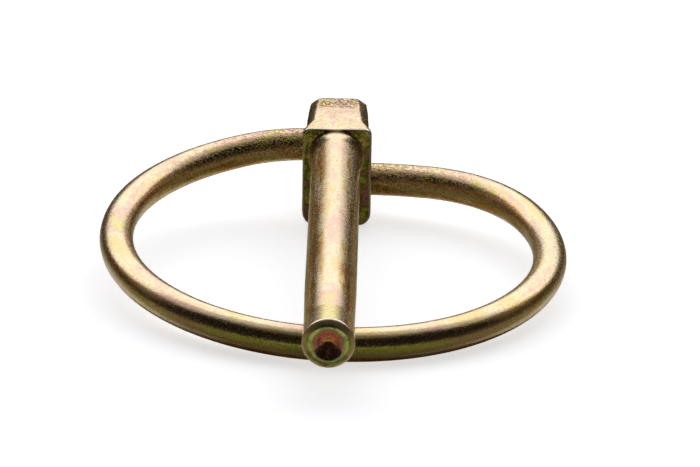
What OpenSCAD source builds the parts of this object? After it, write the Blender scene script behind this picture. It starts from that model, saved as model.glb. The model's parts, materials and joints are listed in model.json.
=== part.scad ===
// Lynch pin: a forged pin with a flat-sided head, and a spring-wire ring whose
// two ends stand in blind holes in the head's sides. The left hole is higher
// than the right one, so the ring is wound like one turn of a flat helix and
// snaps shut under the shank.
//
// Frame: the shank's axis is the Y axis, with its tip towards -Y. The origin is
// on that axis in the plane of the head's front face. +Z is up, millimetres.

/* [Shank] */
// Shank diameter, the size the pin is known by
shank_d = 6; // [5:0.1:8]
// How far the tip reaches past the wire of the closed ring, centre to tip
tip_reach = 11.4; // [8:0.1:20]
// Swell of the upset rim at the tip, on the diameter
rim_swell = 0.1; // [0:0.02:0.3]
// Draw-in of the waist behind the rim, on the diameter
waist_draw = 0.2; // [0:0.02:0.4]
// Width of the bevel round the end face
tip_bevel = 0.75; // [0.3:0.05:1]
// Diameter of the centre-punched cone in the end face
punch_d = 3.75; // [2:0.05:3.8]
// Depth of that cone
punch_depth = 1.5; // [0.5:0.1:2.5]
// Fillet where the shank leaves the head
root_fillet = 0.4; // [0.2:0.05:0.4]

/* [Head] */
// How far each side of the head stands out past the shank
cheek = 1.25; // [1:0.05:3]
// How far the head's top stands above the shank
crest = 0.6; // [0.6:0.05:2]
// Height of the head
head_h = 12.85; // [11.5:0.05:18]
// Length of the head along the pin
head_l = 10.8; // [8.6:0.05:16]
// How far the forged head sits to the right of the shank's axis
head_shift = 0.1; // [0:0.05:0.3]
// How much narrower the body of the head is than its front edge, each side
head_draft = 0.4; // [0.1:0.05:0.8]
// Thickness of the full-width front edge
front_edge = 1.3; // [0.8:0.1:2]

/* [Ring] */
// Wire diameter
wire_d = 4; // [3:0.1:4.8]
// Outer width of the ring
ring_w = 55.8; // [44:0.1:80]
// Angle from the middle of the front at which the bend tightens
front_turn = 115; // [100:1:130]
// Height of the left hole above the right one
hole_offset = 4.6; // [3.8:0.1:5.6]
// How far behind the head's front face the holes lie, on average
hole_back = 5.175; // [4.4:0.025:6.2]
// How deep the wire's ends stand in the head
tang_depth = 3; // [2:0.1:3.5]

/* [Fits] */
// Room round the wire in its holes, on the radius
hole_play = 0.1; // [0.05:0.01:0.2]
// Room past the wire's end at the bottom of its hole
end_play = 0.2; // [0.1:0.05:0.5]
// Gap between the shank's full diameter and the closed ring
rest_gap = 0.03; // [0.02:0.01:0.1]

/* [Hidden] */

$fn = 96;
shank_r = shank_d / 2;
wire_r = wire_d / 2;
tang_chamfer = wire_d / 10;
half_w = shank_r + cheek;
head_top = shank_r + crest;
// width of the seam between two bends
seam = 0.01;

// ---- Ring: a bending programme ------------------------------------------
// The ring's own frame has its origin at the middle of the front and +Y towards
// the head. The front is one flat bend, tipped about Y. From there each half has
// bends that are rows of [centre-line radius, heading in plan at the end, slope
// at the end]. The left half is the right one turned half a turn about Y.

front_r = (ring_w - wire_d) / 2;
front_half = 50;
// the last bend ends just inside the head, so the ends run straight in the holes
tang_start = half_w - 0.4;
shoulder_r = front_r - tang_start / sin(front_turn);
// tip of the front bend about Y, which starts the wire's helix
front_tip = 2.1;

function programme(k) = [
    [front_r, front_turn, 0.3 * k],
    [shoulder_r, 160, 4.6 * k],
    [shoulder_r, 180, 0],
];

function heading(turn, slope) =
    [cos(turn) * cos(slope), sin(turn) * cos(slope), -sin(slope)];

// every bend as [start, heading there, heading at its end, radius, angle, end]
function walk(rows, from, start, i = 0) =
    i == len(rows) ? [] :
    let (
        to = heading(rows[i][1], rows[i][2]),
        angle = acos(from * to),
        r = rows[i][0],
        end = start + r * tan(angle / 2) * (from + to)
    )
    concat([[start, from, to, r, angle, end]], walk(rows, to, end, i + 1));

// the flat front bend's end on the right, tipped by an angle about Y
function tipped(v, tip) = [v[0] * cos(tip), v[1], -v[0] * sin(tip)];
function half_ring(k) = walk(
    programme(k),
    tipped([cos(front_half), sin(front_half)], front_tip * k),
    front_r * tipped([sin(front_half), 1 - cos(front_half)], front_tip * k)
);
function end_of(bends) = bends[len(bends) - 1][5];

// the slopes are scaled so that the two ends come out hole_offset apart
first_k = -hole_offset / 2 / end_of(half_ring(1))[2];
slope_k = first_k * -hole_offset / 2 / end_of(half_ring(first_k))[2];
bends = half_ring(slope_k);
ring_end = end_of(bends);

// The closed ring lies under the shank, so its plane leans down to the front.
pivot = [0, hole_back, head_top - head_h / 2];
front_z = -(shank_r + wire_r + rest_gap);
lean = asin((pivot[2] - front_z) / ring_end[1]);
front_y = pivot[1] - ring_end[1] * cos(lean);

// where the wire's ends lie: side is 1 on the right and -1 on the left
function hole_at(side) = [
    pivot[1] - side * ring_end[2] * sin(lean),
    pivot[2] + side * ring_end[2] * cos(lean)
];

// ---- Shank ---------------------------------------------------------------
shank_len = -front_y + tip_reach;
// the full diameter ends just short of the ring and draws in to the waist
waist_start = -front_y - wire_r - 0.6;
rim_r = shank_r + rim_swell / 2;
waist_r = shank_r - waist_draw / 2;
bevel_l = 0.55;

// ---- Head ----------------------------------------------------------------
// Cross-sections along the head: [y, half width, top, bottom, top corner width
// and height, bottom corner width and height]
body_w = half_w - head_draft;
head_foot = head_top - head_h;
sections = [
    [0, half_w - 0.12, head_top - 0.08, head_foot + 0.15, 0.45, 0.5, 1.3, 1.6],
    [0.16, half_w, head_top, head_foot, 0.5, 0.6, 1.4, 1.7],
    [front_edge, half_w - 0.03, head_top, head_foot, 0.65, 0.8, 1.4, 1.7],
    [front_edge + 2, body_w, head_top, head_foot, 0.95, 1.2, 1.3, 1.6],
    [head_l - 2, body_w - 0.15, head_top, head_foot, 1.15, 1.3, 1.3, 1.6],
    [head_l - 0.3, body_w - 0.35, head_top - 0.03, head_foot + 0.8, 1.35, 0.87, 0.9, 1.2],
    [head_l, body_w - 1.05, head_top - 0.4, head_foot + 1.2, 0.7, 0.65, 0.8, 1.1],
];

// one section's outline, with a corner drawn in a few short flats: bow 1 is an
// ellipse and bow 2 is one straight facet
corner_steps = 4;
top_bow = 1.7;
foot_bow = 1;
function bowed(v, bow) = sign(v) * pow(abs(v), bow);
function corner(cx, cz, rx, rz, from, bow) = [
    for (i = [0:corner_steps])
        let (a = from + 90 * i / corner_steps)
        [cx + rx * bowed(cos(a), bow), cz + rz * bowed(sin(a), bow)]
];
function outline(s) = concat(
    corner(s[1] - s[4], s[2] - s[5], s[4], s[5], 0, top_bow),
    corner(-s[1] + s[4], s[2] - s[5], s[4], s[5], 90, top_bow),
    corner(-s[1] + s[6], s[3] + s[7], s[6], s[7], 180, foot_bow),
    corner(s[1] - s[6], s[3] + s[7], s[6], s[7], 270, foot_bow)
);

// skins a row of outlines that all have the same number of points
module loft(rows) {
    n = len(outline(rows[0]));
    last = len(rows) - 1;
    points = [for (s = rows, p = outline(s)) [p[0], s[0], p[1]]];
    sides = [
        for (k = [0:last - 1], i = [0:n - 1])
            let (a = k * n + i, b = k * n + (i + 1) % n)
            each [[a, b, b + n], [a, b + n, a + n]]
    ];
    polyhedron(
        points,
        concat([[for (i = [n - 1:-1:0]) i]], sides, [[for (i = [0:n - 1]) last * n + i]]),
        convexity = 4
    );
}

// turned profile of the shank, drawn radius against distance from the head
module shank_profile() {
    difference() {
        polygon([
            [0, -2],
            [shank_r + root_fillet, -2],
            [shank_r + root_fillet, 0],
            [shank_r, root_fillet],
            [shank_r, waist_start],
            [waist_r, shank_len - 5],
            [waist_r + 0.4 * (rim_r - waist_r), shank_len - 2.6],
            [rim_r, shank_len - 0.9],
            [rim_r, shank_len - bevel_l],
            [rim_r - tip_bevel, shank_len],
            [punch_d / 2, shank_len],
            [0.15, shank_len - punch_depth],
            [0, shank_len - punch_depth],
        ]);
        // hollows the root to a true quarter circle
        translate([shank_r + root_fillet, root_fillet]) circle(r = root_fillet, $fn = 48);
    }
}

// blind hole for one end of the wire, with the drill's point at its bottom
module tang_hole(side) {
    r = wire_r + hole_play;
    depth = tang_depth + end_play;
    translate([side * half_w, hole_at(side)[0], hole_at(side)[1]])
        rotate([0, -side * 90, 0]) {
            translate([0, 0, -2]) cylinder(r = r, h = depth + 2);
            translate([0, 0, depth]) cylinder(r1 = r, r2 = 0, h = r / tan(59));
        }
}

module pin() {
    color([0.80, 0.70, 0.42])
    difference() {
        union() {
            translate([head_shift, 0, 0]) loft(sections);
            rotate([90, 0, 0]) rotate_extrude() shank_profile();
        }
        for (side = [-1, 1]) tang_hole(side);
    }
}

// one bend of the wire, laid from its start along its heading
module bend(b) {
    from = b[1];
    inward = (b[2] - (from * b[2]) * from) / sin(b[4]);
    axis = cross(from, inward);
    centre = b[0] + b[3] * inward;
    multmatrix([
        [-inward[0], from[0], axis[0], centre[0]],
        [-inward[1], from[1], axis[1], centre[1]],
        [-inward[2], from[2], axis[2], centre[2]],
        [0, 0, 0, 1],
    ])
        arc(b[3], b[4]);
}

// a bend that stops a hair short of both its ends
module arc(r, angle) {
    trim = seam / 2 / r * 180 / PI;
    rotate([0, 0, trim])
        rotate_extrude(angle = angle - 2 * trim) translate([r, 0]) circle(r = wire_r, $fn = 48);
}

// the core that carries the wire across the seam between two bends
module core(at, along) {
    translate(at)
        rotate([0, acos(along[2]), atan2(along[1], along[0])])
            cylinder(r = 0.8 * wire_r, h = wire_r / 2, center = true);
}

// the straight end that stands in the head
module tang() {
    run = ring_end[0] - (half_w - tang_depth);
    translate(ring_end) rotate([0, -90, 0]) {
        translate([0, 0, seam / 2]) cylinder(r = wire_r, h = run - tang_chamfer - seam / 2);
        translate([0, 0, run - tang_chamfer])
            cylinder(r1 = wire_r, r2 = wire_r - tang_chamfer, h = tang_chamfer);
    }
}

module half_wire() {
    for (b = bends) {
        core(b[0], b[1]);
        bend(b);
    }
    core(ring_end, [-1, 0, 0]);
    tang();
}

module ring() {
    color([0.76, 0.66, 0.42])
    translate([0, front_y, front_z]) rotate([lean, 0, 0]) {
        rotate([0, front_tip * slope_k, 0])
            translate([0, front_r, 0])
                rotate([0, 0, -90 - front_half]) arc(front_r, 2 * front_half);
        half_wire();
        rotate([0, 180, 0]) half_wire();
    }
}

pin();
ring();
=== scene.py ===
# %% [markdown]
# # A lynch pin in yellow zinc plate
# A lynch pin is a forged steel pin with a sprung wire ring. The shank goes
# through a hole drilled in a bigger pin, and the ring swings round and snaps
# against the shank so that nothing can slide off. This notebook loads the
# measured frame, adds the ring as bent wire, gives the forging a worn skin,
# plates both pieces, and lights them like small metal goods in a studio.

# %% Load the frame
import json
import math
import bmesh
import bpy
import numpy as np
from mathutils import Matrix, Vector


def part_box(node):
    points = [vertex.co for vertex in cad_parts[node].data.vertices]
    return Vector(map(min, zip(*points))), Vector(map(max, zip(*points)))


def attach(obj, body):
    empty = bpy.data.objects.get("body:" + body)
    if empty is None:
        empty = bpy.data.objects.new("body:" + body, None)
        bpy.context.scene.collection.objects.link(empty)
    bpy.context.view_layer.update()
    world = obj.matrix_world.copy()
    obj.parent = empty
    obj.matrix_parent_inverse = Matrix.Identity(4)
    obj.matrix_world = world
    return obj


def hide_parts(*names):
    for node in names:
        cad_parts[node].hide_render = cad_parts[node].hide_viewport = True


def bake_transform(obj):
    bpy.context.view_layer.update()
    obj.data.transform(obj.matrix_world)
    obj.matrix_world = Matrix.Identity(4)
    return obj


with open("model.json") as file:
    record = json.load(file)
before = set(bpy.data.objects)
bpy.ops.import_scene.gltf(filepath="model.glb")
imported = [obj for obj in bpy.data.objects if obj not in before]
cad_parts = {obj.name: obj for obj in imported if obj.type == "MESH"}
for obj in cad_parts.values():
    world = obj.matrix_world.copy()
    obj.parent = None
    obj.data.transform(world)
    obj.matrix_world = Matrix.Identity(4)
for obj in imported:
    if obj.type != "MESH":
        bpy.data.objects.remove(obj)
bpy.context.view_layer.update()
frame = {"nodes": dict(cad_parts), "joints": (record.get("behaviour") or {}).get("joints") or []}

MM = 0.001
pin_low, pin_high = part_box("pin")
hinge = frame["joints"][0]
hinge_at = Vector(hinge["pos_m"])

# %% [markdown]
# ## The bending programme
# The ring is one piece of round spring wire. It could be drawn as a free
# curve, but a wire bender describes such a part as a row of bends: how wide
# each bend is, and where the wire points when the bend ends. That can be
# solved, so that both ends run straight into their holes. Here a heading is an
# angle in plan and a slope. The front is one flat bend, and from its ends the
# wire tightens into two shoulders and slopes a little, so that its ends stand
# one above the other in the head.

# %% Bends of one half of the ring
WIRE_R = 2.0 * MM
FRONT_R = 25.9 * MM       # the front bend, on the centre line
FRONT_HALF = 50.0         # headings in plan where the bends end, in degrees
FRONT_TURN = 115.0
SHOULDER_TURN = 160.0
FRONT_ROLL = 2.1          # slopes in degrees, before they are scaled
FRONT_SLOPE = 0.3
SHOULDER_SLOPE = 4.6
END_OFFSET = 4.6 * MM     # how much higher the left end stands than the right one
LAST_BEND_DEPTH = 0.4 * MM
TANG_DEPTH = 3.0 * MM     # how far the straight ends stand in the head
LEAN = 2.558              # the lean of the whole ring, in degrees

cheek = (pin_high.x - pin_low.x) / 2
straight_from = cheek - LAST_BEND_DEPTH
SHOULDER_R = FRONT_R - straight_from / math.sin(math.radians(FRONT_TURN))
print(f"shoulder bends are {SHOULDER_R / MM:.2f} mm on the centre line")


def heading(turn, slope):
    """The direction of wire that has turned in plan and slopes down, in degrees."""
    t, s = math.radians(turn), math.radians(slope)
    return Vector((math.cos(t) * math.cos(s), math.sin(t) * math.cos(s), -math.sin(s)))


def arc_points(start, along, to, radius, step):
    """Points on one bend that leaves start heading along and ends heading to."""
    angle = along.angle(to)
    inward = (to - along * along.dot(to)).normalized()
    count = max(2, round(radius * angle / step))
    return [start + radius * (math.sin(a) * along + (1 - math.cos(a)) * inward)
            for a in (angle * i / count for i in range(1, count + 1))]


def half_ring(slope, step):
    """The centre line of the right half, from the middle of the front to its end."""
    roll = Matrix.Rotation(math.radians(FRONT_ROLL * slope), 3, "Y")
    headings = [roll @ Vector((1, 0, 0)), roll @ heading(FRONT_HALF, 0),
                heading(FRONT_TURN, FRONT_SLOPE * slope),
                heading(SHOULDER_TURN, SHOULDER_SLOPE * slope), heading(180, 0)]
    radii = (FRONT_R, FRONT_R, SHOULDER_R, SHOULDER_R)
    points = [Vector((0, 0, 0))]
    for along, to, radius in zip(headings, headings[1:], radii):
        points += arc_points(points[-1], along, to, radius, step)
    return points


# %% Solve the slope and lay the whole centre line
POINT_GAP = 0.2 * MM
SOLVING_ROUNDS = 3
STRAIGHT_STEPS = 8

slope_scale = 1.0
for _ in range(SOLVING_ROUNDS):
    slope_scale *= -END_OFFSET / 2 / half_ring(slope_scale, POINT_GAP)[-1].z
right_half = half_ring(slope_scale, POINT_GAP)
bend_end = right_half[-1]
tang_end = Vector((cheek - TANG_DEPTH, bend_end.y, bend_end.z))
right_half += [bend_end.lerp(tang_end, i / STRAIGHT_STEPS)
               for i in range(1, STRAIGHT_STEPS + 1)]
left_half = [Vector((-p.x, p.y, -p.z)) for p in right_half]
centre_line = left_half[:0:-1] + right_half

lean = Matrix.Rotation(math.radians(LEAN), 3, "X")
left_end = lean @ centre_line[0]
place = Vector((0, hinge_at.y - left_end.y, hinge_at.z - left_end.z))
centre_line = [lean @ p + place for p in centre_line]
length = sum((b - a).length for a, b in zip(centre_line, centre_line[1:]))
print(f"wire length {length / MM:.1f} mm in {len(centre_line)} points, "
      f"slopes scaled by {slope_scale:.4f}")
print(f"front of the ring at y {min(p.y for p in centre_line) / MM:.3f} mm")

# %% [markdown]
# ## Sweeping the wire with Geometry Nodes
# A bevelled curve would give the wire its round section, but nothing more. In
# Geometry Nodes the same sweep is Curve to Mesh: the path goes in as a line of
# points, a circle is the profile, and a number on each point lets the ends
# taper like cut and tumbled wire. The same tree then pushes the skin in and
# out along its normals, because plated wire is never perfectly smooth, and
# here it is deeply pitted beside the head.

# %% A small builder for node trees
class Socket:
    """One output socket, so that shader and geometry maths reads like Python."""

    def __init__(self, tree, socket):
        self.tree, self.socket = tree, socket

    def maths(self, operation, *values):
        return add(self.tree, "ShaderNodeMath", {"operation": operation}, values)

    def __add__(self, other): return self.maths("ADD", self, other)
    def __radd__(self, other): return self.maths("ADD", other, self)
    def __sub__(self, other): return self.maths("SUBTRACT", self, other)
    def __rsub__(self, other): return self.maths("SUBTRACT", other, self)
    def __mul__(self, other): return self.maths("MULTIPLY", self, other)
    def __rmul__(self, other): return self.maths("MULTIPLY", other, self)
    def __truediv__(self, other): return self.maths("DIVIDE", self, other)
    def __rtruediv__(self, other): return self.maths("DIVIDE", other, self)
    def __pow__(self, other): return self.maths("POWER", self, other)
    def __neg__(self): return self.maths("MULTIPLY", self, -1.0)
    def __abs__(self): return self.maths("ABSOLUTE", self)
    def root(self): return self.maths("SQRT", self)
    def at_least(self, other): return self.maths("MAXIMUM", self, other)
    def at_most(self, other): return self.maths("MINIMUM", self, other)
    def clamp(self): return self.at_most(1.0).at_least(0.0)


def add(tree, node_type, settings=None, sockets=None, output=0):
    """Adds a node, makes its settings, fills its sockets, and gives one output back."""
    node = tree.nodes.new(node_type)
    for name, value in (settings or {}).items():
        if name == "stops":
            ramp = node.color_ramp
            while len(ramp.elements) < len(value):
                ramp.elements.new(0.5)
            for stop, (where, colour) in zip(ramp.elements, value):
                stop.position, stop.color = where, (*colour, 1.0)
        else:
            setattr(node, name, value)
    pairs = sockets.items() if isinstance(sockets, dict) else enumerate(sockets or ())
    for key, value in pairs:
        target = node.inputs[key]
        if isinstance(value, Socket):
            tree.links.new(value.socket, target)
        else:
            target.default_value = value
    return Socket(tree, node.outputs[output])


# %% The wire tree
WIRE_INPUTS = {"Wire Radius": "NodeSocketFloat", "Around": "NodeSocketInt",
               "Pit Depth": "NodeSocketFloat", "Pit Size": "NodeSocketFloat",
               "Material": "NodeSocketMaterial"}


def wire_tree():
    tree = bpy.data.node_groups.new("swept wire", "GeometryNodeTree")
    face = tree.interface
    face.new_socket("Geometry", in_out="INPUT", socket_type="NodeSocketGeometry")
    for name, kind in WIRE_INPUTS.items():
        face.new_socket(name, in_out="INPUT", socket_type=kind)
    face.new_socket("Geometry", in_out="OUTPUT", socket_type="NodeSocketGeometry")
    entry = tree.nodes.new("NodeGroupInput")
    value = {s.name: Socket(tree, s) for s in entry.outputs if s.name}

    def node(*args):
        return add(tree, *args)

    def stored(name):
        return node("GeometryNodeInputNamedAttribute", {"data_type": "FLOAT"}, {"Name": name})

    curve = node("GeometryNodeMeshToCurve", {}, {"Mesh": value["Geometry"]})
    circle = node("GeometryNodeCurvePrimitiveCircle", {"mode": "RADIUS"},
                  {"Resolution": value["Around"], "Radius": value["Wire Radius"]})
    skin = node("GeometryNodeCurveToMesh", {}, {
        "Curve": curve, "Profile Curve": circle, "Scale": stored("wire_scale"),
        "Fill Caps": True})
    skin = node("GeometryNodeSetShadeSmooth", {}, {"Geometry": skin, "Shade Smooth": True})
    pits = node("ShaderNodeTexNoise", {}, {
        "Vector": node("GeometryNodeInputPosition"), "Scale": 1.0 / value["Pit Size"],
        "Detail": 2.0, "Roughness": 0.6})
    depth = (pits - 0.5) * stored("pitting") * value["Pit Depth"]
    push = node("ShaderNodeVectorMath", {"operation": "SCALE"},
                {0: node("GeometryNodeInputNormal"), "Scale": depth})
    skin = node("GeometryNodeSetPosition", {}, {"Geometry": skin, "Offset": push})
    skin = node("GeometryNodeRealizeInstances", {}, {"Geometry": skin})
    skin = node("GeometryNodeSetMaterial", {}, {"Geometry": skin, "Material": value["Material"]})
    leave = tree.nodes.new("NodeGroupOutput")
    tree.links.new(skin.socket, leave.inputs[0])
    print(f"wire tree: {len(tree.nodes)} nodes")
    return tree


# %% Run modifiers on a mesh and keep the plain result
def link(name, data):
    """A new object in the scene."""
    made = bpy.data.objects.new(name, data)
    bpy.context.scene.collection.objects.link(made)
    return made


def keep_result(name, seed):
    """Turns what a seed's modifiers make into a plain piece, and removes the seed."""
    bpy.context.view_layer.update()
    ready = seed.evaluated_get(bpy.context.evaluated_depsgraph_get())
    made = bpy.data.meshes.new_from_object(ready)
    made.name = name
    bpy.data.objects.remove(seed)
    print(f"{name}: {len(made.vertices)} points, {len(made.polygons)} faces")
    return link(name, made)


def grow(name, mesh, tree, values):
    """The piece that a Geometry Nodes tree makes from a mesh."""
    seed = link(name + "_seed", mesh)
    modifier = seed.modifiers.new("grow", "NODES")
    modifier.node_group = tree
    for item in tree.interface.items_tree:
        if item.item_type == "SOCKET" and item.in_out == "INPUT" and item.name in values:
            modifier[item.identifier] = values[item.name]
    return keep_result(name, seed)


# %% [markdown]
# ## Yellow zinc plate
# Zinc plate is passivated in a bath that leaves a film a few hundred
# nanometres thick. Light from the top and the bottom of the film interferes,
# so its colour tells its thickness: bronze and gold where it is thin, then
# pink, yellow, green and mauve, and pink once more where it is thickest.
# Patches of colour could be painted straight on, but here the noise is the
# thickness and one ramp turns it into colour, so that the colours lie beside
# each other in the order of a real film. Slow noise lets it drift, noise drawn
# out along the shank and the wire gives it streaks, and fine noise flecks it.
# Under the film the steel is satin, with fine pits that are darker and
# rougher, and sharp edges painted pale: partly worn zinc, partly a painted edge highlight.

# %% Colours of the film as it thickens
def srgb(*values):
    """Three numbers from 0 to 255, as linear light."""
    return tuple((v / 255 / 12.92) if v <= 10 else ((v / 255 + 0.055) / 1.055) ** 2.4
                 for v in values)


FILM = [(0.00, srgb(206, 154, 86)), (0.12, srgb(230, 198, 134)), (0.22, srgb(234, 214, 170)),
        (0.34, srgb(234, 200, 160)), (0.45, srgb(228, 184, 162)), (0.56, srgb(222, 206, 128)),
        (0.68, srgb(190, 196, 98)), (0.79, srgb(114, 144, 34)), (0.86, srgb(146, 118, 66)),
        (0.92, srgb(186, 136, 134)), (0.97, srgb(242, 184, 184)), (1.00, srgb(246, 182, 154))]
LEAST, USUAL = 0.14, 0.25
YELLOW, LEMON, GREEN, MAUVE, THICKEST = 0.58, 0.62, 0.70, 0.92, 1.00
# pale zinc for sharp edges: partly worn zinc, partly a painted edge highlight
PALE_ZINC_AND_HIGHLIGHT = srgb(236, 232, 216)
print(f"film: {len(FILM)} colours")

# %% Masks, noise and stored numbers
FACTOR, VECTOR, OBJECT, COLOUR = 2, 1, 3, 2    # places of the outputs that are read


def smooth(tree, value, low, high):
    """0 below low and 1 above high, with a soft step between them."""
    return add(tree, "ShaderNodeMapRange", {"interpolation_type": "SMOOTHSTEP"},
               {"Value": value, "From Min": low, "From Max": high})


def fade(tree, value, low, high):
    """1 below low and 0 above high."""
    return 1 - smooth(tree, value, low, high)


def band(tree, value, low, full, falling, high):
    """1 from full to falling, and 0 below low and above high."""
    return smooth(tree, value, low, full) * fade(tree, value, falling, high)


def noise(tree, where, size, detail=2.0, roughness=0.55):
    """Noise whose lumps are about size across."""
    return add(tree, "ShaderNodeTexNoise", {}, {
        "Vector": where, "Scale": 1.0 / size, "Detail": detail, "Roughness": roughness})


def attribute(tree, name, output=FACTOR):
    """A number stored on the mesh, or a vector."""
    return add(tree, "ShaderNodeAttribute", {"attribute_name": name}, output=output)


def split(tree, vector):
    """The three numbers of a vector."""
    return [add(tree, "ShaderNodeSeparateXYZ", {}, {"Vector": vector}, output=i)
            for i in range(3)]


def mix(tree, amount, under, over, blend="MIX"):
    """One colour over another."""
    return add(tree, "ShaderNodeMix", {"data_type": "RGBA", "blend_type": blend},
               {0: amount, 6: under, 7: over}, output=COLOUR)


# %% The finish
DRIFT, STREAKS, FLECKS = 0.9, 1.0, 0.3    # how far each noise moves the film
WEAR_AND_HIGHLIGHT_COVER = 0.85                         # how much of the film an edge loses where it is worn and where a highlight is painted
BUMP_HEIGHT = 0.033 * MM


def zinc(name, placed):
    """Plated steel. placed makes the film thicker or thinner in places, and paints shade and a
    highlight in some of them.
    """
    material = bpy.data.materials.new(name)
    material.use_nodes = True
    tree = material.node_tree
    surface = tree.nodes["Principled BSDF"]
    where = add(tree, "ShaderNodeTexCoord", output=OBJECT)

    drift = noise(tree, where, 8 * MM)
    streak = noise(tree, attribute(tree, "drawn", VECTOR), 1.3 * MM, 3.0, 0.6)
    fleck = noise(tree, where, 0.5 * MM)
    film = USUAL + (drift - 0.5) * DRIFT + (streak - 0.5) * STREAKS + (fleck - 0.5) * FLECKS
    film = placed(tree, film.at_least(LEAST), where).clamp()
    colour = add(tree, "ShaderNodeValToRGB", {"stops": FILM}, [film])

    pitted = attribute(tree, "pitting")
    speck = noise(tree, where, 0.30 * MM, 3.0, 0.7)
    grain = noise(tree, where, 0.16 * MM, 2.0, 0.6)
    even = smooth(tree, speck, 0.31 + pitted * 0.10, 0.44 + pitted * 0.10)
    pit = 1 - even
    shade = 1.0 - pit * (0.08 + pitted ** 2 * 0.34 + pitted ** 4 * 0.16)
    shade = add(tree, "ShaderNodeCombineColor", {}, [shade, shade ** 1.3, shade ** 1.8])
    colour = mix(tree, 1.0, colour, shade, "MULTIPLY")
    # sharp edges are painted pale: partly worn zinc, partly a painted edge highlight
    worn_and_highlit = (attribute(tree, "wear") * WEAR_AND_HIGHLIGHT_COVER).clamp()
    colour = mix(tree, worn_and_highlit, colour, (*PALE_ZINC_AND_HIGHLIGHT, 1.0))

    rough = 0.19 + fleck * 0.06 + pit * 0.10 + attribute(tree, "matte") * 0.17
    height = even * pitted * pitted + grain * (0.17 + pitted * 0.43)
    bump = add(tree, "ShaderNodeBump", {}, {
        "Strength": 1.0, "Distance": BUMP_HEIGHT, "Height": height})
    surface.inputs["Metallic"].default_value = 1.0
    for key, value in (("Base Color", colour), ("Roughness", rough), ("Normal", bump)):
        tree.links.new(value.socket, surface.inputs[key])
    print(f"{name}: {len(tree.nodes)} nodes")
    return material


# %% Where the pin's film is thicker or thinner, and where shade and a highlight are painted
FACE_FILM, FACE_CLOUDS, MAUVE_PATCH = 0.52, 1.5, 0.18
END_FILM, END_CLOUDS = 0.50, 0.6
RIM_FILM = 0.30
# bronze on the shank's upper sides: partly the film's colour, partly painted shade beside the
# highlight
FLANK_SHADE_FILM = -0.22
STRIP_FILM, STRIP_SPREAD = -0.10, 14 * MM         # the film gains 1 over this width
# the cone's very bottom is painted pale, as a painted highlight
CONE_SPREAD, CONE_BOTTOM_HIGHLIGHT_FILM = 60 * MM, -0.85    # and loses 1 over this radius


def pin_film(tree, film, where):
    """Thicker film on the faces that lie across the shank, bronze on its sides that is partly
    painted shade, and a painted highlight at the cone's bottom.
    """
    x, y, z = split(tree, where)
    side, reach = abs(x), (x * x + z * z).root()
    cloud = noise(tree, where, 2.6 * MM) - 0.5

    # thick clouds on the head's front face and the shank's end, and a thick rear rim
    front = band(tree, y, -0.30 * MM, -0.05 * MM, 0.05 * MM, 0.4 * MM)
    front = front * smooth(tree, reach, 3.25 * MM, 3.6 * MM)
    low_right = (smooth(tree, x, 2.2 * MM, 3.0 * MM)
                 * band(tree, z, -7.6 * MM, -6.0 * MM, -2.4 * MM, -0.8 * MM))
    shank_end = fade(tree, y, pin_low.y + 0.1 * MM, pin_low.y + 0.45 * MM)
    rear_rim = smooth(tree, y, pin_high.y - 0.7 * MM, pin_high.y - 0.3 * MM)
    film = film + front * (FACE_FILM + cloud * FACE_CLOUDS + low_right * MAUVE_PATCH)
    film = film + shank_end * (END_FILM + cloud * END_CLOUDS) + rear_rim * RIM_FILM

    # bronze streaks high on the shank's sides, partly the film's bronze and partly painted shade
    # beside the highlight, and a strip across the head's rear
    streak = noise(tree, attribute(tree, "drawn", VECTOR), 0.9 * MM)
    flank = band(tree, side, 0.7 * MM, 1.6 * MM, 2.0 * MM, 3.0 * MM)
    flank = flank * smooth(tree, z, 0.0, 1.6 * MM) * fade(tree, y, -5.0 * MM, -0.6 * MM)
    flank = flank * smooth(tree, streak, 0.30, 0.55)
    strip = smooth(tree, y, 7.2 * MM, 7.8 * MM) * (1 - rear_rim)
    film = film + flank * FLANK_SHADE_FILM + strip * (x / STRIP_SPREAD + STRIP_FILM)

    # yellow along the top of the shank towards its tip
    near_tip = fade(tree, y + cloud * (12 * MM), -51.5 * MM, -42.0 * MM)
    near_tip = near_tip * smooth(tree, y, pin_low.y + 0.5 * MM, pin_low.y + 0.9 * MM)
    near_tip = near_tip * fade(tree, side, 1.2 * MM, 2.0 * MM)
    film = film + (YELLOW - film) * near_tip * 0.90

    # the thickest film of all in the punched cone, with paler film painted at its very bottom as
    # a highlight
    cone = (fade(tree, reach, 1.80 * MM, 1.95 * MM)
            * fade(tree, y, pin_low.y + 1.6 * MM, pin_low.y + 2.0 * MM))
    cone_bottom_highlight = fade(tree, reach, 0.15 * MM, 0.35 * MM)
    in_cone = THICKEST - reach / CONE_SPREAD + cone_bottom_highlight * CONE_BOTTOM_HIGHLIGHT_FILM
    return film.at_most(MAUVE) * (1 - cone) + cone * in_cone


# %% Where the ring's film is thicker or thinner, and where shade is painted below
# the wire's underside is painted darker bronze, as painted shade
SHADE_BELOW_FILM = -0.22


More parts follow.
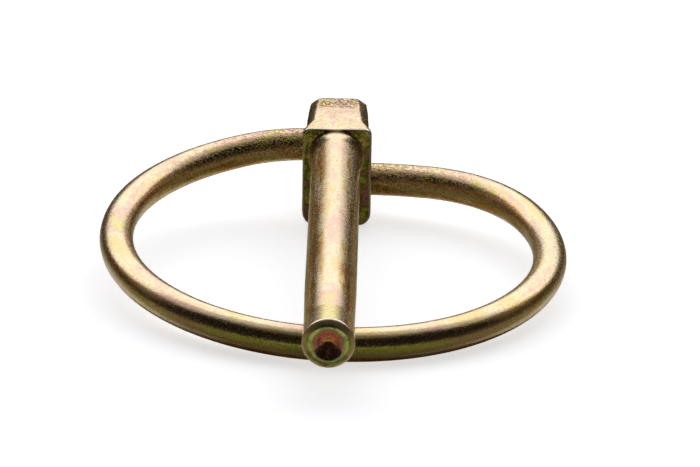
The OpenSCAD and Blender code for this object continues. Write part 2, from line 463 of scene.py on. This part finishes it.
def ring_film(tree, film, where):
    """Greener on the inner top and the outer lower side of the wire, and darker bronze painted
    below as shade.
    """
    y = split(tree, where)[1]
    out, up = split(tree, attribute(tree, "drawn", VECTOR))[:2]
    patch = noise(tree, where, 12 * MM)
    mottle = noise(tree, where, 1.1 * MM)

    inner_top = smooth(tree, -out, 0.3 * MM, 1.2 * MM) * smooth(tree, up, -0.2 * MM, 0.9 * MM)
    inner_top = inner_top * smooth(tree, patch * 0.4 + mottle * 0.6, 0.40, 0.56)
    inner_top = inner_top * smooth(tree, y, -20 * MM, -10 * MM)
    outer_low = smooth(tree, out, 1.0 * MM, 1.8 * MM)
    outer_low = outer_low * band(tree, up, -0.8 * MM, -0.2 * MM, 0.5 * MM, 1.1 * MM)
    outer_low = outer_low * smooth(tree, patch * 0.6 + mottle * 0.4, 0.30, 0.52)
    outer_low = outer_low * fade(tree, y, -46 * MM, -38 * MM)

    # the underside and the lower inner side are painted darker bronze: painted shade under the
    # wire
    inner_low_shade = smooth(tree, -out, 0.4 * MM, 1.4 * MM) * fade(tree, up, -0.6 * MM, 0.4 * MM)
    bronze_shade_below = smooth(tree, -up, 0.4 * MM, 1.4 * MM).at_least(inner_low_shade)
    film = film + bronze_shade_below * SHADE_BELOW_FILM
    return film + (LEMON - film) * inner_top * 0.8 + (GREEN - film) * outer_low * 0.9


pin_finish = zinc("zinc_on_forging", pin_film)
ring_finish = zinc("zinc_on_wire", ring_film)

# %% [markdown]
# ## The ring
# The real ring is cut from coiled wire, so each end has a slightly rounded cut
# and the rest is one even section. The path's points carry two numbers for the
# tree: how thick the wire is there, which drops over the last tenth of a
# diameter at each cut end, and how pitted it is.

# %% Make the ring
CUT_LENGTH, CUT_TAPER = 0.4 * MM, 0.2
PITTED_LENGTH, PITTING_LEAST = 24 * MM, 0.35


def path_mesh(points):
    """The centre line as a mesh of points and edges, with the tree's numbers on it."""
    mesh = bpy.data.meshes.new("ring_path")
    mesh.from_pydata(points, [(i, i + 1) for i in range(len(points) - 1)], [])
    run = np.cumsum([0.0] + [(b - a).length for a, b in zip(points, points[1:])])
    from_end = np.minimum(run, run[-1] - run)
    scale = 1 - CUT_TAPER * np.clip(1 - from_end / CUT_LENGTH, 0, 1)
    near_head = np.clip(1 - from_end / PITTED_LENGTH, 0, 1)
    pitting = PITTING_LEAST + (1 - PITTING_LEAST) * near_head
    for name, values in (("wire_scale", scale), ("pitting", pitting)):
        made = mesh.attributes.new(name, "FLOAT", "POINT")
        made.data.foreach_set("value", values.astype(np.float32))
    return mesh


ring = grow("ring_wire", path_mesh(centre_line), wire_tree(), {
    "Wire Radius": WIRE_R, "Around": 84, "Pit Depth": 0.09 * MM, "Pit Size": 0.50 * MM,
    "Material": ring_finish})

# %% [markdown]
# ## Each slice's share of the ring's swing
# Both ends of the wire stay in their holes, one above the other, so the ring
# can't swing as a stiff hoop: the wire twists. It could be cut into many short
# stiff pieces, but giving each slice of wire its own share of the swing would
# keep it one piece. Here those shares are worked out, chosen so that the open
# ring would be the mirror image of the closed one, which puts both ends back
# where they started; nothing here moves the wire by them.

# %% Numbers stored on a mesh
def points_of(mesh, field="co"):
    """The places of a mesh's points, or their normals."""
    flat = np.empty(len(mesh.vertices) * 3, np.float32)
    mesh.vertices.foreach_get(field, flat)
    return flat.reshape(-1, 3).astype(float)


def store(mesh, name, values):
    """Keeps one number or one vector for each point of a mesh."""
    kind, field = ("FLOAT_VECTOR", "vector") if values.ndim == 2 else ("FLOAT", "value")
    made = mesh.attributes.get(name) or mesh.attributes.new(name, kind, "POINT")
    made.data.foreach_set(field, values.astype(np.float32).ravel())


# %% The slice of wire that each point belongs to
BATCH = 4000
DRAWN_OUT = 6    # streaks are this much longer along the wire than across it

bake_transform(ring)
path = np.array([list(p) for p in centre_line])
skin = points_of(ring.data)
nearest = np.empty(len(skin), int)
for i in range(0, len(skin), BATCH):
    gap = ((skin[i:i + BATCH, None, :] - path[None, :, :]) ** 2).sum(2)
    nearest[i:i + BATCH] = gap.argmin(1)

offset = skin - path[nearest]
run = np.cumsum([0.0, *np.linalg.norm(np.diff(path, axis=0), axis=1)])
outward = path[nearest] - np.array([0, path[:, 1].mean(), 0])
outward[:, 2] = 0
outward /= np.linalg.norm(outward, axis=1)[:, None]
out = (offset * outward).sum(1)
store(ring.data, "drawn", np.stack([out, offset[:, 2], run[nearest] / DRAWN_OUT], 1))
store(ring.data, "wear", np.zeros(len(skin)))
print(f"{len(skin)} points on {len(path)} slices of wire")

# %% Share of the swing for each point
angle = np.degrees(np.arctan2(-(path[:, 2] - hinge_at.z), -(path[:, 1] - hinge_at.y)))
share = np.clip((180 - 2 * angle) / hinge["range_deg"][1], 0, 1)
in_left_hole = (path[:, 0] > -cheek) & (path[:, 0] < 0) & (path[:, 1] > 0)
share[in_left_hole] = 1.0
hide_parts("ring")
print(f"share of the swing runs from {share.min():.3f} to {share.max():.3f}")

# %% [markdown]
# ## The pin's skin
# The frame's pin has true sizes and knife-sharp edges. A real one was forged
# hot, turned, tumbled and plated, so its edges are rounded, its faces wave a
# little, and the rear of its head's top, which the die didn't reach, is rough.
# Its sharp edges are also painted pale, partly as worn zinc and partly as a
# painted edge highlight. A Bevel modifier would round the edges but leave the
# faces too coarse for relief. A voxel remesh of the frame's own pin gives small
# even faces to work on, and it melts in a turned collar, which is the flare
# where the shank meets the head. Each point is then moved along its normal by a
# few hundredths of a millimetre.

# %% Re-skin a CAD node with small even faces
VOXEL = 0.15 * MM
WELD = 0.0005 * MM
SHANK_R = 3.0 * MM
FLARE_LENGTH, FLARE_HEIGHT = 1.5 * MM, 0.56 * MM
FLARE_TOP, FLARE_ROWS = 1.45 * MM, 30
COLLAR_END, COLLAR_END_R = 0.6 * MM, 3.3 * MM    # inside the head, out of sight


def flare(away):
    """Radius of the shank near its root, where the forging die leaves a long flare."""
    left = np.clip(1 - away / FLARE_LENGTH, 0, 1)
    return SHANK_R + FLARE_HEIGHT * (1 - np.sqrt(1 - left ** 2))


def turned_collar(made, stations, radii, around=96):
    """Adds a closed turned solid on the shank's axis to a mesh."""
    rows = []
    for station, radius in zip(stations, radii):
        rows.append([made.verts.new((radius * math.cos(a), station, radius * math.sin(a)))
                     for a in np.arange(around) * 2 * math.pi / around])
    for low, high in zip(rows, rows[1:]):
        for i in range(around):
            made.faces.new((low[i], low[i - 1], high[i - 1], high[i]))
    made.faces.new(rows[0])
    made.faces.new(rows[-1][::-1])


def reskin(node, name):
    """A voxel remesh of a copy of a CAD node, with the collar melted in."""
    merged = bmesh.new()
    merged.from_mesh(node.data)
    bmesh.ops.remove_doubles(merged, verts=merged.verts, dist=WELD)
    root = np.linspace(FLARE_TOP, 0.0, FLARE_ROWS)
    turned_collar(merged, [*(-root), COLLAR_END], [*flare(root), COLLAR_END_R])
    print(f"collar and pin together hold {merged.calc_volume() * 1e9:.0f} mm3")
    mesh = bpy.data.meshes.new(name + "_seed")
    merged.to_mesh(mesh)
    merged.free()
    seed = link(name + "_seed", mesh)
    modifier = seed.modifiers.new("skin", "REMESH")
    modifier.mode, modifier.voxel_size, modifier.adaptivity = "VOXEL", VOXEL, 0.0
    modifier.use_smooth_shade = True
    return keep_result(name, seed)


pin = reskin(frame["nodes"]["pin"], "pin_forging")

# %% Relax the steps of the voxels
RELAX_ROUNDS, RELAX_SHARE = 4, 0.5


def edges_of(mesh):
    flat = np.empty(len(mesh.edges) * 2, np.int32)
    mesh.edges.foreach_get("vertices", flat)
    return flat.reshape(-1, 2)


def middle_of_neighbours(values, edges):
    """The mean of each point's neighbours."""
    count = np.bincount(edges.ravel(), minlength=len(values))[:, None]
    total = np.stack([np.bincount(edges[:, 0], values[edges[:, 1], i], len(values))
                      + np.bincount(edges[:, 1], values[edges[:, 0], i], len(values))
                      for i in range(values.shape[1])], 1)
    return total / np.maximum(count, 1)


def put(mesh, points):
    mesh.vertices.foreach_set("co", points.astype(np.float32).ravel())
    mesh.update()


points, edges = points_of(pin.data), edges_of(pin.data)
for _ in range(RELAX_ROUNDS):
    points += RELAX_SHARE * (middle_of_neighbours(points, edges) - points)
print(f"{len(points)} points relaxed")

# %% Turn the shank true again
TURNED = np.array([(1.50, 3.0), (41.57, 3.0), (50.57, 2.9), (54.72, 3.03)]) * MM
NEAR_SHANK = 0.2 * MM
away = -points[:, 1]
radius = np.hypot(points[:, 0], points[:, 2])
true_radius = np.where(away < TURNED[0, 0], flare(away),
                       np.interp(away, TURNED[:, 0], TURNED[:, 1]))
on_shank = ((away > NEAR_SHANK) & (away < TURNED[-1, 0])
            & (np.abs(radius - true_radius) < NEAR_SHANK))
scale = (true_radius / np.maximum(radius, 1e-9))[on_shank]
points[on_shank, 0] *= scale
points[on_shank, 2] *= scale
put(pin.data, points)
print(f"{on_shank.sum()} points turned true")

# %% Worn edges and painted edge highlights
EDGE_FROM, EDGE_RANGE = 0.0035 * MM, 0.010 * MM    # how sharp an edge is when it wears and takes a painted highlight
TIP_FROM, TIP_RANGE, TIP_WEAR_AND_HIGHLIGHT = 0.0022 * MM, 0.004 * MM, 0.3
SOFTEN_ROUNDS = 3
normals = points_of(pin.data, "normal")
sharp = -((middle_of_neighbours(points, edges) - points) * normals).sum(1)[:, None]
for _ in range(SOFTEN_ROUNDS):
    sharp += RELAX_SHARE * (middle_of_neighbours(sharp, edges) - sharp)
sharp = sharp[:, 0]
# the sharper the edge, the paler it is painted: wear, and a painted edge highlight
wear = np.clip((sharp - EDGE_FROM) / EDGE_RANGE, 0, 1)
tip_wear_and_highlight = TIP_WEAR_AND_HIGHLIGHT * np.clip((sharp - TIP_FROM) / TIP_RANGE, 0, 1)
at_tip = points[:, 1] < pin_low.y + 1.0 * MM
wear[at_tip] = np.maximum(wear, tip_wear_and_highlight)[at_tip]
print(f"sharpness: {np.percentile(sharp / MM, (50, 90, 97, 99, 99.8)).round(4)}")

# %% Random relief and soft steps
def ripple(where, size, seed, waves=48):
    """Smooth random relief, about 1 high, whose lumps are size across."""
    draw = np.random.default_rng(seed)
    ways = draw.normal(size=(waves, 3))
    pace = 2 * np.pi * draw.uniform(0.35, 0.75, waves) / size
    ways *= (pace / np.linalg.norm(ways, axis=1))[:, None]
    phase = draw.uniform(0, 2 * np.pi, waves)
    return np.cos(where @ ways.T + phase).sum(1) / math.sqrt(waves / 2)


def soft_step(value, low, high):
    t = np.clip((value - low) / (high - low), 0, 1)
    return t * t * (3 - 2 * t)


# %% The parts of the pin, as numbers from 0 to 1
SHANK_STRETCH = 0.86    # streaks on the shank are longer along it by 1 / (1 - this)
x, y, z = points.T
head = soft_step(y, 0.2 * MM, 0.8 * MM)
shank = 1 - soft_step(y, -0.5 * MM, 0.5 * MM)
rear_shank = soft_step(y, -34 * MM, -12 * MM) * (1 - head)
flank = soft_step(np.abs(x), 0.8 * MM, 1.6 * MM)
bevel = soft_step(-y, -pin_low.y - 0.8 * MM, -pin_low.y - 0.4 * MM)
bevel_rim = bevel * soft_step(np.hypot(x, z), 2.25 * MM, 2.5 * MM)
drawn = points * np.stack([np.ones(len(y)), 1 - SHANK_STRETCH * shank, np.ones(len(y))], 1)

# behind a wavering line across the top of the head, the die left the steel rough
die_line = 7.5 * MM + 0.1 * x - 80 * x * x
die_line = die_line + 0.25 * MM * ripple(points * (1, 0, 0), 2.5 * MM, seed=3)
rough = soft_step(z, pin_high.z - 0.5 * MM, pin_high.z - 0.2 * MM)
rough *= soft_step(y, die_line - 0.2 * MM, die_line + 0.4 * MM)
rough *= 1 - soft_step(y, pin_high.y - 0.6 * MM, pin_high.y - 0.3 * MM)
rough *= 1 - soft_step(np.abs(x - 0.1 * MM), 2.2 * MM, 2.5 * MM)
print(f"{(rough > 0.5).sum()} points are rough, of {(head > 0.5).sum()} on the head")

# %% Relief, and the numbers that the finish reads
HEAD_WAVES, SKIN_WAVES, BEVEL_WAVES = 0.012 * MM, 0.003 * MM, 0.025 * MM
ROUGH_DROP, ROUGH_PITS = 0.02 * MM, 0.10 * MM
pits = np.clip(ripple(points, 0.42 * MM, seed=5) - 0.2, 0, 2)
push = (head * HEAD_WAVES * ripple(points, 3.0 * MM, seed=1)
        + SKIN_WAVES * ripple(drawn, 0.6 * MM, seed=2)
        - rough * (ROUGH_DROP + ROUGH_PITS * pits)
        + bevel * BEVEL_WAVES * ripple(points, 2.4 * MM, seed=8))
pitting = 0.25 + (0.08 + 0.3 * flank) * rear_shank + 0.2 * head + 0.55 * rough
points += normals * push[:, None]
put(pin.data, points)
for name, values in (("wear", wear), ("matte", bevel_rim), ("pitting", pitting),
                     ("drawn", drawn)):
    store(pin.data, name, values)
pin.data.materials.clear()
pin.data.materials.append(pin_finish)
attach(pin, "pin")
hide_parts("pin")
print(f"relief from {push.min() / MM:.3f} to {push.max() / MM:.3f} mm")

# %% [markdown]
# ## The floor
# The pin lies on the lower edge of its head and on the front of the ring, so
# it is tilted by a few degrees. It could be dropped in a simulation, but the
# answer can be worked out. In the pin's own frame it is the floor that tilts,
# and the convex hull of everything shows where: the floor is the facet that
# faces down and has the centre of mass above it. The mean of the mesh's points
# is near enough to that centre.

# %% Find the resting plane
HULL_GRID = 0.02 * MM
FACING_DOWN = -0.98


def resting_plane():
    """A point of the floor, below the middle of the object, and the floor's normal."""
    hull = bmesh.new()
    for node in frame["nodes"].values():
        hull.from_mesh(node.data)
    points = np.array([v.co for v in hull.verts])
    middle = Vector(points.mean(0))
    hull.clear()
    for p in points[np.unique(np.round(points / HULL_GRID), axis=0, return_index=True)[1]]:
        hull.verts.new(p)
    made = bmesh.ops.convex_hull(hull, input=list(hull.verts))
    best = None
    for facet in {g for g in made["geom"] if isinstance(g, bmesh.types.BMFace)}:
        normal = facet.normal
        if normal.z > FACING_DOWN:
            continue
        corners = [v.co.copy() for v in facet.verts]
        drop = middle + normal * (corners[0] - middle).dot(normal)
        if all((b - a).cross(drop - a).dot(normal) >= 0
               for a, b in zip(corners, corners[1:] + corners[:1])):
            best = (drop, -normal)
    hull.free()
    return best


floor_at, floor_up = resting_plane()
tilt = math.degrees(floor_up.angle(Vector((0, 0, 1))))
print(f"the floor leans {tilt:.2f} degrees and passes {floor_at.z / MM:.2f} mm "
      "below the shank's axis")

# %% [markdown]
# ## The studio
# Bare metal shows its surroundings, so its look is made by what stands round
# it. A white tent all round would make it flat and grey. Here one large soft
# box hangs behind and above it, with warm strips along its foot and its two
# sides. Dark cloths stand in front and all round, and a brown cloth with three
# glossy sheets lies on the table. The camera sees none of these, and they cast
# no shadow, but the metal sees them, which gives it the long dark streaks
# between the highlights and the olive lights on its lower sides. The camera
# sees a white table.

# %% Plain colours for the studio
def plain(name, colour, glow=0.0, gloss=0.0, rough=0.9, ior=1.5):
    material = bpy.data.materials.new(name)
    material.use_nodes = True
    surface = material.node_tree.nodes["Principled BSDF"]
    for key, value in (("Base Color", (*colour, 1.0)), ("Roughness", rough),
                       ("Specular IOR Level", gloss), ("IOR", ior),
                       ("Emission Color", (*colour, 1.0)), ("Emission Strength", glow)):
        surface.inputs[key].default_value = value
    return material


def prop(name, corners, faces, material):
    """Something in the studio that isn't part of the object."""
    mesh = bpy.data.meshes.new(name)
    mesh.from_pydata(corners, [], faces)
    mesh.materials.append(material)
    made = link(name, mesh)
    print(f"{name}: {len(faces)} faces")
    return made


# %% Floor
FLOOR_HALF = 3.0
across = Vector((1, 0, 0))
along = floor_up.cross(across).normalized()
across = along.cross(floor_up).normalized()


def square(name, material, half, middle=0.0, above=0.0):
    """A square that lies on the table, or just above it."""
    corners = [floor_at + floor_up * above + across * i * half + along * (middle + j * half)
               for i, j in ((-1, -1), (1, -1), (1, 1), (-1, 1))]
    return prop(name, corners, [(0, 1, 2, 3)], material)


square("floor", plain("white_table", (0.88, 0.88, 0.88), glow=0.75), FLOOR_HALF)

# %% Dark cloths round the table
def only_for_metal(made, *also):
    """Hides something from all but glossy rays, and the rays that are named."""
    for ray in ("visible_camera", "visible_diffuse", "visible_transmission",
                "visible_volume_scatter", "visible_shadow"):
        setattr(made, ray, ray in also)


def flag(name, radius, low, high, side, colour, columns=24, rows=10):
    """A curved cloth between two height angles, up to side degrees left and right."""
    corners, faces = [], []
    for j in range(rows + 1):
        height = math.radians(low + (high - low) * j / rows)
        for i in range(columns + 1):
            turn = math.radians(side * (2 * i / columns - 1))
            corners.append(Vector((math.sin(turn) * math.cos(height),
                                   -math.cos(turn) * math.cos(height),
                                   math.sin(height))) * radius)
            if i and j:
                k = j * (columns + 1) + i
                faces.append((k, k - 1, k - columns - 2, k - columns - 1))
    made = prop(name, corners, faces, plain(name + "_cloth", colour))
    only_for_metal(made, "visible_diffuse")


flag("flag_in_front", 1.10, 6.0, 60.0, 88, (0.006, 0.0042, 0.0016))
flag("flag_all_round", 1.20, 0.0, 15.5, 180, (0.06, 0.034, 0.009))

# %% A cloth and glossy sheets on the table
only_for_metal(square(
    "cloth_on_table", plain("brown_cloth", (0.04, 0.026, 0.007)), 2.5, above=0.05 * MM))
only_for_metal(square(
    "sheet_on_table", plain("glossy_sheet", (0.46, 0.44, 0.18), gloss=0.5, rough=0.18, ior=3.0),
    64 * MM, -24 * MM, 0.1 * MM))
# the two sheets in front also glow, which paints extra light into what the metal reflects
only_for_metal(square(
    "sheet_in_front", plain("pale_sheet", (0.66, 0.64, 0.30), glow=0.10, gloss=0.5, rough=0.3),
    60 * MM, -108 * MM, 0.15 * MM))
only_for_metal(square(
    "sheet_further", plain("paler_sheet", (0.85, 0.80, 0.50), glow=0.50, gloss=0.5, rough=0.3),
    60 * MM, -143 * MM, 0.2 * MM))

# %% Soft box and room light
COOL, WARM = (0.94, 1.0, 1.14), (1.0, 0.56, 0.22)
ROOM_COLOUR, ROOM_LIGHT = (1.0, 0.85, 0.6), 0.12


def soft_box(name, low, high, left, right, level, colour=COOL, reach=1.2):
    """A flat panel behind the pin, between two height angles, as bright as level."""
    foot, head = (Vector((0, math.cos(a), math.sin(a))) * reach
                  for a in (math.radians(low), math.radians(high)))
    light = bpy.data.lights.new(name, "AREA")
    light.shape, light.size, light.size_y = "RECTANGLE", right - left, (head - foot).length
    light.energy = level * math.pi * light.size * light.size_y
    light.color = colour
    lamp = link(name, light)
    lamp.location = (foot + head) / 2
    lamp.rotation_euler = (-lamp.location).to_track_quat("-Z", "Y").to_euler()
    lamp.location.x = (left + right) / 2
    lamp.visible_camera = False
    print(f"{name}: {light.size:.2f} x {light.size_y:.2f} m, {light.energy:.1f} W")


soft_box("soft_box", 18, 68, -1.28, 1.28, 1.36)
soft_box("soft_box_foot", 10, 17.9, -1.5, 1.5, 0.36, WARM)
soft_box("soft_box_middle", 13, 17.9, -0.18, 0.18, 1.0, reach=1.15)
soft_box("soft_box_left", 17.5, 68, -1.5, -1.29, 0.60, WARM)
soft_box("soft_box_right", 17.5, 68, 1.29, 1.5, 0.60, WARM)
soft_box("soft_box_top", 69, 92, -1.2, 1.2, 0.45)

world = bpy.data.worlds.new("room")
bpy.context.scene.world = world
world.use_nodes = True
background = world.node_tree.nodes["Background"]
background.inputs["Color"].default_value = (*ROOM_COLOUR, 1)
background.inputs["Strength"].default_value = ROOM_LIGHT

# %% [markdown]
# ## The camera
# A wide lens close by would swell the tip, which is nearest to it. So a long
# lens more than half a metre away looks down on the pin from in front of its
# tip, with a trace of roll.

# %% Camera
LENS, SENSOR = 248.4, 36.0
ELEVATION, AZIMUTH, ROLL, DISTANCE = 23.34, -0.434, 0.821, 0.57284
MIDDLE = Vector((0, -22 * MM, -2 * MM))
AIM_RIGHT, AIM_UP = 2.015 * MM, 1.107 * MM

camera = bpy.data.cameras.new("camera")
camera.lens, camera.sensor_width = LENS, SENSOR
camera.clip_start, camera.clip_end = 0.01, 20.0
turn = (Matrix.Rotation(math.radians(-AZIMUTH), 3, "Z")
        @ Matrix.Rotation(math.radians(90 - ELEVATION), 3, "X")
        @ Matrix.Rotation(math.radians(ROLL), 3, "Z"))
right, up, back = turn.col
aim = MIDDLE + right * AIM_RIGHT + up * AIM_UP
eye = link("camera", camera)
eye.matrix_world = Matrix.Translation(aim + back * DISTANCE) @ turn.to_4x4()
bpy.context.scene.camera = eye
bpy.context.scene.view_settings.view_transform = "Standard"
print("camera at", [round(v / MM, 1) for v in eye.location])
